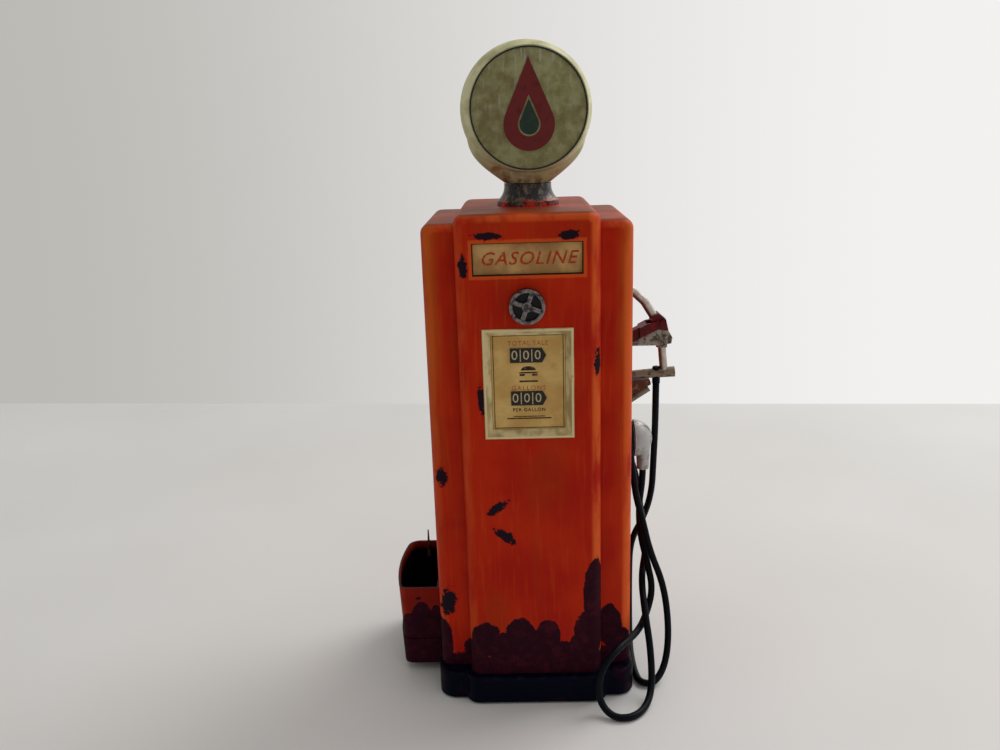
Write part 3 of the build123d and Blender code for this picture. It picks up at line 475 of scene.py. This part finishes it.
def worn_paint(node, lumps, line, chips, bucket=False):
    """Hand-painted orange red with brush marks, rubbed edges with painted highlight, dark chips and rust at
    the foot.
    """
    s = Shader("paint_" + node)
    brush = s.noise(1.6, 3, stretch=(1, 1, 14), shift=3.1)
    cloud = s.noise(26, 3)
    colour = base_coat(s, brush, cloud)
    if "wing" in node:
        colour = wing_bands(s, colour)
    # rounded edges: rubbed paint and painted highlight
    colour = rubbed_and_highlit_edges(s, colour)
    upward = s.fade(s.axes(s.normal)["Z"], 0.72, 0.97)
    dust = s.both(upward, s.fade(cloud, 0.20, 0.60))
    colour = s.mix(dust, colour, RIM_DARK if bucket else DUSTY)
    if bucket:
        colour = s.mix(0.50, colour, RIM_DARK)
    if node == "tower_shell":
        # painted highlight round the sign's opening, painted shade in its reveal
        colour = opening_highlight_and_shade(s, colour)
        spill = spill_mask(s)
        colour = s.mix(spill, colour, SPILT_RED)

    chip, chip_lip = chip_masks(s, reaching(chips, node))
    rust = rust_mask(s, reaching(lumps, node), line)
    rust_colour = s.mix(s.fade(s.noise(3.4, 5, shift=8.8, rough=0.7), 0.45, 0.72), RUST_DARK, RUST_LIGHT)
    colour = s.mix(s.both(chip_lip, 0.55), colour, DEEP_RED)
    colour = s.mix(chip, colour, CHIP)
    colour = s.mix(rust, colour, rust_colour)
    if bucket:
        # painted shade: the bucket's inside, nearly black
        colour = s.mix(inside_shade_mask(s, node), colour, BUCKET_INSIDE_SHADE)

    bare = s.math("MAXIMUM", chip, rust)
    grit = s.both(s.noise(0.9, 3, shift=4.4), bare)
    height = s.math("ADD", s.both(brush, 0.35), s.both(grit, 0.9))
    height = s.math("SUBTRACT", height, s.both(bare, 0.8))
    rough = s.math("ADD", s.both(s.noise(9, 3, shift=6.1), 0.22), 0.36)
    rough = s.math("ADD", rough, s.both(bare, 0.22))
    if node == "tower_shell":
        rough = s.math("SUBTRACT", rough, s.both(spill, 0.08))
    return s.finish(colour, rough, 0.10, height=height, depth=0.10)


def plinth_black():
    s = Shader("plinth_black")
    rub = s.fade(s.noise(2.4, 5, shift=1.4, rough=0.7), 0.48, 0.70)
    edge = s.fade(s.axes(s.vector("ABSOLUTE", s.normal))["Z"], 0.12, 0.55)
    colour = s.mix(s.both(edge, s.both(rub, 0.8)), BLACK, WORN_BLACK)
    colour = s.mix(s.both(s.fade(s.noise(11, 4, shift=5.5), 0.55, 0.72), 0.25), colour, RUST_LIGHT)
    height = s.noise(1.3, 4, stretch=(1.8, 1.8, 1), shift=2.0)
    rough = s.math("ADD", s.both(rub, 0.25), 0.42)
    return s.finish(colour, rough, 0.06, height=height, depth=0.14)


def aged_cream(name, light, stain, gloss):
    """Cream enamel with brown-green stains in spots, and darker brown-green on the slopes that turn away
    from the front.
    """
    s = Shader(name)
    facing = s.axes(s.vector("ABSOLUTE", s.normal))["Y"]
    slope_patches = s.fade(s.noise(5.5, 4, stretch=(1, 1, 2), shift=1.2), 0.40, 0.66)
    slope = s.both(s.fade(facing, 0.995, 0.80), slope_patches)
    spots = s.fade(s.noise(3.2, 5, shift=4.9, rough=0.7), 0.58, 0.74)
    colour = s.mix(s.both(s.noise(12, 3), 0.7), light, [c * 0.78 for c in light[:3]] + [1])
    colour = s.mix(s.both(slope, 0.62), colour, stain)
    colour = s.mix(s.both(spots, 0.55), colour, stain)
    return s.finish(colour, 0.48, gloss, height=s.noise(1.8, 4, shift=2.7), depth=0.10)


def globe_cream():
    """The globe's cream rim, browner towards its neck, with a rust-orange smear there."""
    s = Shader("globe_cream")
    z = s.axes(s.place)["Z"]
    patchy = s.noise(8, 4, shift=2.4)
    low = s.fade(s.math("ADD", z, s.both(patchy, 16 * MM)), *GLOBE_LOW_Z)
    neck = s.fade(s.math("ADD", z, s.both(patchy, 10 * MM)), *GLOBE_NECK_Z)
    neck = s.both(neck, s.fade(s.noise(3.0, 4, shift=9.0), 0.38, 0.60))
    colour = s.mix(s.fade(patchy, 0.35, 0.68), (0.72, 0.69, 0.42, 1), (0.46, 0.45, 0.22, 1))
    colour = s.mix(s.both(low, 0.55), colour, (0.34, 0.22, 0.10, 1))
    colour = s.mix(neck, colour, (0.20, 0.09, 0.035, 1))
    smear = s.math("ADD", s.nearest(SMEAR, s.place), s.both(s.noise(1.8, 3, shift=5.0), 1.6))
    colour = s.mix(s.both(s.fade(smear, 1.9, 1.1), 0.75), colour, (0.30, 0.085, 0.015, 1))
    return s.finish(colour, 0.46, 0.18, height=s.noise(2.2, 4, shift=3.0), depth=0.12)


def lens_paint():
    """Mottled grey-green print under a dull varnish, with pale upright streaks in it, and painted reflection
    that makes them stronger towards the top.
    """
    s = Shader("lens_paint")
    colour = s.mix(s.fade(s.noise(5.2, 5, shift=1.0, rough=0.65), 0.36, 0.66),
                   (0.215, 0.200, 0.080, 1), (0.34, 0.335, 0.165, 1))
    brown = s.both(s.fade(s.noise(9, 4, shift=6.6), 0.52, 0.70), 0.6)
    colour = s.mix(brown, colour, (0.17, 0.115, 0.05, 1))
    streak_and_glare = s.fade(s.noise(1.4, 3, stretch=(1, 1, 7), shift=3.7), 0.54, 0.74)
    # painted reflection: the streaks strengthen towards the top
    high = s.fade(s.axes(s.place)["Z"], *LENS_GLARE_Z)
    colour = s.mix(s.both(s.both(streak_and_glare, high), 0.75), colour, (0.44, 0.47, 0.38, 1))
    return s.finish(colour, 0.44, 0.15, height=s.noise(1.2, 4, shift=2.0), depth=0.05)


def printed_card(name, light, dark):
    s = Shader(name)
    fibre = s.noise(0.7, 3, stretch=(4, 1, 1), shift=1.0)
    colour = s.mix(s.fade(s.noise(9, 4, shift=3.0), 0.36, 0.66), light, dark)
    colour = s.mix(s.both(s.fade(fibre, 0.50, 0.75), 0.35), colour, dark)
    return s.finish(colour, 0.66, 0.06, height=fibre, depth=0.03)


def ink(name, colour, faded):
    """A printed layer that has worn in specks."""
    s = Shader(name)
    return s.finish(s.mix(s.fade(s.noise(0.8, 3, shift=1.0), 0.48, 0.72), colour, faded), 0.60, 0.08)


def enamel(name, colour, worn, size=3.0, rough=0.35, gloss=0.4):
    """Brushed enamel: worn patches of a second colour, and a little unevenness."""
    s = Shader(name)
    patches = s.fade(s.noise(size, 5, shift=2.0, rough=0.65), 0.50, 0.70)
    return s.finish(s.mix(patches, colour, worn), s.math("ADD", s.both(patches, 0.25), rough), gloss,
                    height=s.noise(size * 0.5, 4, shift=4.0), depth=0.08)


def metal(name, bright, dull, size=2.5, rough=0.32, metallic=0.85, dull_from=0.46):
    """Bare or silvered metal with dull brown or dark patches in its hollows."""
    s = Shader(name)
    patches = s.fade(s.noise(size, 5, shift=2.0, rough=0.65), dull_from, dull_from + 0.18)
    rough = s.math("ADD", s.both(patches, 0.30), rough)
    return s.finish(s.mix(patches, bright, dull), rough, 0.5, metallic,
                    height=s.noise(size * 0.45, 4, shift=5.0), depth=0.08)


def spout_metal():
    """Silvered tube, with painted shade along its lower left side."""
    s = Shader("spout_metal")
    axes = s.axes(s.normal)
    under_shade = s.fade(s.math("ADD", axes["Z"], s.both(axes["X"], 0.8)), 0.15, -0.7)
    patches = s.fade(s.noise(3.0, 4, shift=2.0), 0.40, 0.60)
    colour = s.mix(s.both(patches, 0.45), (0.62, 0.58, 0.52, 1), (0.38, 0.31, 0.25, 1))
    # painted shade: olive brown on the faces that look down and to the left
    colour = s.mix(s.both(under_shade, 0.85), colour, (0.10, 0.060, 0.032, 1))
    return s.finish(colour, s.math("ADD", s.both(patches, 0.2), 0.30), 0.5, 0.70,
                    height=s.noise(1.2, 4, shift=1.0), depth=0.06)


def collar_metal():
    """Dark casting with rubbed highlights, and red paint spilled round its foot."""
    s = Shader("collar_metal")
    rub = s.fade(s.noise(2.0, 5, stretch=(1, 1, 1.8), shift=2.0, rough=0.7), 0.46, 0.64)
    colour = s.mix(rub, (0.012, 0.011, 0.011, 1), (0.17, 0.135, 0.10, 1))
    foot = s.fade(s.axes(s.place)["Z"], *COLLAR_FOOT_Z)
    spill = s.both(foot, s.fade(s.noise(3.6, 3, shift=7.0), 0.47, 0.53))
    colour = s.mix(spill, colour, (0.46, 0.022, 0.004, 1))
    return s.finish(colour, s.math("ADD", s.both(rub, 0.1), 0.26), 0.5, 0.35,
                    height=s.noise(1.6, 5, shift=3.0, rough=0.65), depth=0.35)


def knob_silver():
    """Silver: bright on what stands proud, with painted shade that makes the recess nearly black."""
    s = Shader("knob_silver")
    proud = s.fade(s.axes(s.place)["Y"], *KNOB_PROUD_Y)
    rub = s.fade(s.noise(1.5, 4, shift=2.0), 0.30, 0.62)
    # painted shade: nearly black in the recess, silver where it stands proud
    colour = s.mix(s.both(proud, rub), (0.010, 0.006, 0.010, 1), (0.26, 0.23, 0.22, 1))
    return s.finish(colour, 0.30, 0.5, 0.60, height=s.noise(0.8, 4, shift=1.0), depth=0.08)


def hose_rubber():
    s = Shader("hose_rubber")
    scuff = s.fade(s.noise(1.6, 4, shift=2.0), 0.50, 0.75)
    colour = s.mix(s.both(scuff, 0.5), (0.0008, 0.0020, 0.0045, 1), (0.006, 0.009, 0.014, 1))
    return s.finish(colour, s.math("ADD", s.both(scuff, 0.2), 0.40), 0.10,
                    height=s.noise(0.9, 3, shift=4.0), depth=0.02)


def felt():
    s = Shader("felt")
    fuzz = s.noise(0.5, 4, shift=1.0)
    return s.finish(s.mix(fuzz, (0.006, 0.012, 0.008, 1), (0.020, 0.032, 0.022, 1)), 0.95, 0.1,
                    height=fuzz, depth=0.15)


def paint_nodes():
    """Gives every CAD node its finished material."""
    black = plinth_black()
    bead = enamel("bead_black", (0.006, 0.008, 0.006, 1), (0.04, 0.04, 0.03, 1), 2.0)
    frame_cream = aged_cream("dial_cream", (0.82, 0.68, 0.36, 1), (0.24, 0.15, 0.05, 1), 0.12)
    card = printed_card("card_paper", CARD_TAN, (0.58, 0.35, 0.115, 1))
    silver = spout_metal()
    maroon = enamel("maroon_enamel", (0.100, 0.004, 0.007, 1), (0.20, 0.012, 0.012, 1), 3.0, 0.35, 0.2)
    pale = metal("pale_casting", (0.36, 0.34, 0.28, 1), (0.085, 0.070, 0.050, 1), 1.8, 0.45, 0.30, 0.42)
    casting = metal("grey_casting", (0.24, 0.20, 0.145, 1), (0.085, 0.060, 0.045, 1), 2.2, 0.5, 0.25)
    bright = metal("bright_casting", (0.46, 0.455, 0.45, 1), (0.25, 0.245, 0.24, 1), 3.0, 0.42, 0.45, 0.52)
    rusty = enamel("rust_brown", (0.10, 0.030, 0.014, 1), (0.26, 0.13, 0.065, 1), 2.0, 0.55, 0.25)
    brass = metal("brass", (0.22, 0.14, 0.035, 1), (0.035, 0.020, 0.010, 1), 1.6, 0.40, 0.8)
    steel = metal("steel", (0.42, 0.41, 0.40, 1), (0.16, 0.12, 0.09, 1), 1.6, 0.35, 0.9, 0.52)
    emblem = enamel("emblem_red", DARK_RED, (0.10, 0.006, 0.008, 1), 2.4, 0.38, 0.3)
    looks = {
        black: ["plinth", "bottom_plate", "sign_back_plate", "dial_back_plate"],
        felt(): ["base_felt"],
        frame_cream: ["dial_frame"],
        printed_card("sign_paper", SIGN_TAN, (0.40, 0.215, 0.080, 1)): ["sign_card"],
        card: ["dial_card"],
        enamel("plaque_black", (0.006, 0.006, 0.005, 1), (0.030, 0.024, 0.014, 1), 1.6): ["number_plaques"],
        globe_cream(): ["globe_ring"],
        lens_paint(): ["front_lens", "rear_lens"],
        bead: ["front_bead", "rear_bead"],
        emblem: ["front_emblem", "rear_emblem"],
        collar_metal(): ["globe_collar"],
        knob_silver(): ["knob", "knob_spindle"],
        silver: ["nozzle_spout", "nozzle_stem", "spout_socket"],
        maroon: ["valve_block", "nozzle_lever", "lever_pin"],
        pale: ["nozzle_body", "stem_collar"],
        casting: ["nozzle_crossbar", "rest_strut", "hook_plate"],
        rusty: ["nozzle_rest"],
        bright: ["outlet_elbow"],
        brass: ["bucket_pin", "bucket_studs"],
        hose_rubber(): ["hose_ferrule"],
        steel: ["bottom_screws", "cabinet_screws", "wing_screws", "rear_cover_screws", "collar_set_screw",
                "collar_washer", "collar_nut", "hook_screws", "elbow_nut", "knob_nut"],
    }
    for name, line in RUST_LINES.items():
        looks[worn_paint(name, RUST_LUMPS, line, CHIPS)] = [name]
    for name in ("bucket_shell", "bucket_band"):
        looks[worn_paint(name, BUCKET_LUMPS, BUCKET_LINE, BUCKET_CHIPS, bucket=True)] = [name]
    for material, names in looks.items():
        for name in names:
            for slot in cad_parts[name].material_slots:
                slot.material = material


# ---- pieces ----
def new_piece(name, mesh, material, body):
    mesh.materials.clear()
    mesh.materials.append(material)
    piece = bpy.data.objects.new(name, mesh)
    bpy.context.collection.objects.link(piece)
    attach(piece, body)
    return piece


def join_doubles(mesh):
    """Joins the doubled points where a curve's faces meet, so that the mesh is closed."""
    form = bmesh.new()
    form.from_mesh(mesh)
    bmesh.ops.remove_doubles(form, verts=form.verts, dist=DOUBLES)
    form.to_mesh(mesh)
    form.free()


def hose_curve(name, radius):
    curve = bpy.data.curves.new(name, "CURVE")
    curve.dimensions = "3D"
    curve.resolution_u = 10
    curve.bevel_depth = radius
    curve.bevel_resolution = 4
    curve.use_fill_caps = radius > 0
    line = curve.splines.new("NURBS")
    line.points.add(len(HOSE_ROUTE) - 1)
    for point, place in zip(line.points, HOSE_ROUTE):
        point.co = (*place, 1)
    line.order_u = 3
    line.use_endpoint_u = True
    return bpy.data.objects.new(name, curve)


def add_hose():
    """The hose as a tube along the route's own spline."""
    path = bpy.data.meshes.new_from_object(hose_curve("hose_line", 0.0))
    tube = bpy.data.meshes.new_from_object(hose_curve("hose_form", HOSE_DIAMETER / 2))
    join_doubles(tube)
    tube.materials.clear()
    tube.materials.append(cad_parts["hose_ferrule"].material_slots[0].material)
    for face in tube.polygons:
        face.use_smooth = True
    hose = bpy.data.objects.new("rubber_hose", tube)
    bpy.context.collection.objects.link(hose)
    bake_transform(hose)
    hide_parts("hose")


def lettering(name, words, size, middle, face_y, material, slant=0.0, spacing=1.0, weight=0.0):
    """Words as a thin raised print, centred on (x, z), on a face that looks to the front."""
    curve = bpy.data.curves.new(name + "_outline", "FONT")
    curve.body = words
    curve.size = size
    curve.shear = slant
    curve.space_character = spacing
    curve.offset = weight
    curve.extrude = INK / 2
    curve.align_x = "CENTER"
    curve.align_y = "CENTER"
    curve.resolution_u = 3
    mesh = bpy.data.meshes.new_from_object(bpy.data.objects.new(curve.name, curve))
    join_doubles(mesh)
    turn = Matrix.Rotation(math.radians(90), 4, "X")
    mesh.transform(Matrix.Translation((middle[0], face_y - INK / 2, middle[1])) @ turn)
    return new_piece(name, mesh, material, "cabinet")


def prisms(name, outlines, near_y, far_y):
    """A mesh of closed flat shapes between two depths, from XZ outlines."""
    form = bmesh.new()
    for outline in outlines:
        near = [form.verts.new((x, near_y, z)) for x, z in outline]
        far = [form.verts.new((x, far_y, z)) for x, z in outline]
        form.faces.new(near)
        form.faces.new(far)
        for k in range(len(outline)):
            after = (k + 1) % len(outline)
            form.faces.new((near[k], near[after], far[after], far[k]))
    bmesh.ops.recalc_face_normals(form, faces=form.faces)
    mesh = bpy.data.meshes.new(name)
    form.to_mesh(mesh)
    form.free()
    return mesh


def flat_print(name, outlines, face_y, material):
    """Thin raised shapes on a face that looks to the front."""
    mesh = prisms(name, outlines, face_y, face_y - INK)
    return new_piece(name, mesh, material, "cabinet")


def bar(x, z, width, height):
    """The outline of a rectangle about (x, z), in millimetres, as metres."""
    half, tall = width / 2, height / 2
    corners = ((x - half, z - tall), (x + half, z - tall), (x + half, z + tall), (x - half, z + tall))
    return [(a * MM, b * MM) for a, b in corners]


def dome(x, z, half, high, steps=14):
    """The outline of a low half oval that stands on (x, z), in millimetres, as metres."""
    turns = [math.pi * k / steps for k in range(steps + 1)]
    return [((x + half * math.cos(t)) * MM, (z + high * math.sin(t)) * MM) for t in turns]


def add_sign_print():
    red = ink("sign_ink", PRINT_RED, (0.48, 0.16, 0.07, 1))
    lettering("sign_words", "GASOLINE", SIGN_LETTER, SIGN_MIDDLE, SIGN_FACE_Y, red,
              slant=0.30, spacing=1.14, weight=0.06 * MM)


def add_dial_words(red, black):
    lettering("dial_heading_top", "TOTAL SALE", 2.3 * MM, (DIAL_X, 138.9 * MM), DIAL_FACE_Y, red,
              spacing=1.12)
    lettering("dial_heading_low", "GALLONS", 2.3 * MM, (DIAL_X, 122.9 * MM), DIAL_FACE_Y, red,
              spacing=1.25)
    lettering("dial_small_words", "PER GALLON", 1.7 * MM, (DIAL_X, 115.0 * MM), DIAL_FACE_Y, black,
              spacing=1.2, weight=0.03 * MM)


def add_counter(number, z, pale):
    """Three zeros on a black plaque, with thin lines between them."""
    middle = DIAL_X + DIGIT_SHIFT
    for place in range(3):
        x = middle + (place - 1) * DIGIT_PITCH
        lettering(f"counter_{number}_{place}", "0", 4.7 * MM, (x, z), PLAQUE_FACE_Y, pale)
    gaps = [bar((middle + side * DIGIT_PITCH / 2) / MM, z / MM, 0.32, 4.3) for side in (-1, 1)]
    flat_print(f"counter_{number}_gaps", gaps, PLAQUE_FACE_Y, pale)


def add_dial_print():
    """Generic dial: red headings, two counters, rules, a small ornament and a border."""
    red = ink("dial_red_ink", (0.46, 0.085, 0.026, 1), (0.50, 0.25, 0.11, 1))
    black = ink("dial_black_ink", (0.030, 0.024, 0.014, 1), (0.20, 0.14, 0.07, 1))
    pale = ink("digit_cream", (0.58, 0.47, 0.28, 1), (0.36, 0.27, 0.14, 1))
    add_dial_words(red, black)
    for number, z in enumerate(PLAQUE_Z):
        add_counter(number, z, pale)
    middle = DIAL_X / MM
    ornament = [dome(middle, 129.3, 2.6, 1.5), bar(middle, 128.5, 6.4, 0.5),
                bar(middle - 2.2, 127.7, 1.8, 0.7), bar(middle + 2.2, 127.7, 1.8, 0.7)]
    rules = [bar(middle, 125.4, 6.4, 0.55), bar(middle, 112.6, 11.0, 0.28), bar(middle, 111.9, 15.5, 0.42)]
    flat_print("dial_ornament", ornament + rules, DIAL_FACE_Y, black)
    half, low, high = DIAL_BORDER
    uprights = [bar(middle + side * half, (low + high) / 2, BORDER_LINE, high - low) for side in (-1, 1)]
    levels = [bar(middle, z, 2 * half + BORDER_LINE, BORDER_LINE) for z in (low - 0.13, high + 0.13)]
    flat_print("dial_border", uprights + levels, DIAL_FACE_Y, black)


def drop_points(scale, steps=26):
    """A fuel drop about the globe's middle: a round bottom under a point, drawn in XZ."""
    radius, reach = DROP_RADIUS * scale, DROP_REACH * scale
    start = math.asin(radius / reach)
    turns = [start - (math.pi + 2 * start) * k / steps for k in range(steps + 1)]
    arc = [(radius * math.cos(t), DROP_LOW + radius * math.sin(t)) for t in turns]
    return [(0.0, DROP_LOW + reach)] + arc


def add_emblem_hearts():
    """A dark green drop in the middle of each red one."""
    green = enamel("emblem_green", (0.010, 0.030, 0.018, 1), (0.035, 0.055, 0.030, 1), 2.0, 0.4, 0.3)
    turn = Matrix.Translation(GLOBE_AT) @ Matrix.Rotation(GLOBE_TURN, 4, "Z")
    for name, side in (("front_emblem_heart", -1), ("rear_emblem_heart", 1)):
        mesh = prisms(name, [drop_points(HEART_SCALE)], side * GLOBE_FACE, side * (GLOBE_FACE + HEART_THICK))
        mesh.transform(turn)
        new_piece(name, mesh, green, "globe")


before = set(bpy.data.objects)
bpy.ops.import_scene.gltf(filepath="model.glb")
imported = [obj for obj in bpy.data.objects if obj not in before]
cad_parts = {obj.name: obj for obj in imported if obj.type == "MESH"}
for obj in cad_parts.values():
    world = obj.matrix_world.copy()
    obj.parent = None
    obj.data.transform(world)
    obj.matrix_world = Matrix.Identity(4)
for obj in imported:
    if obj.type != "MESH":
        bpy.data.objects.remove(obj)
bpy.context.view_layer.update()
bpy.context.scene.view_settings.view_transform = "Standard"
add_camera()
add_room()
add_window()
add_table()
paint_nodes()
add_hose()
add_sign_print()
add_dial_print()
add_emblem_hearts()
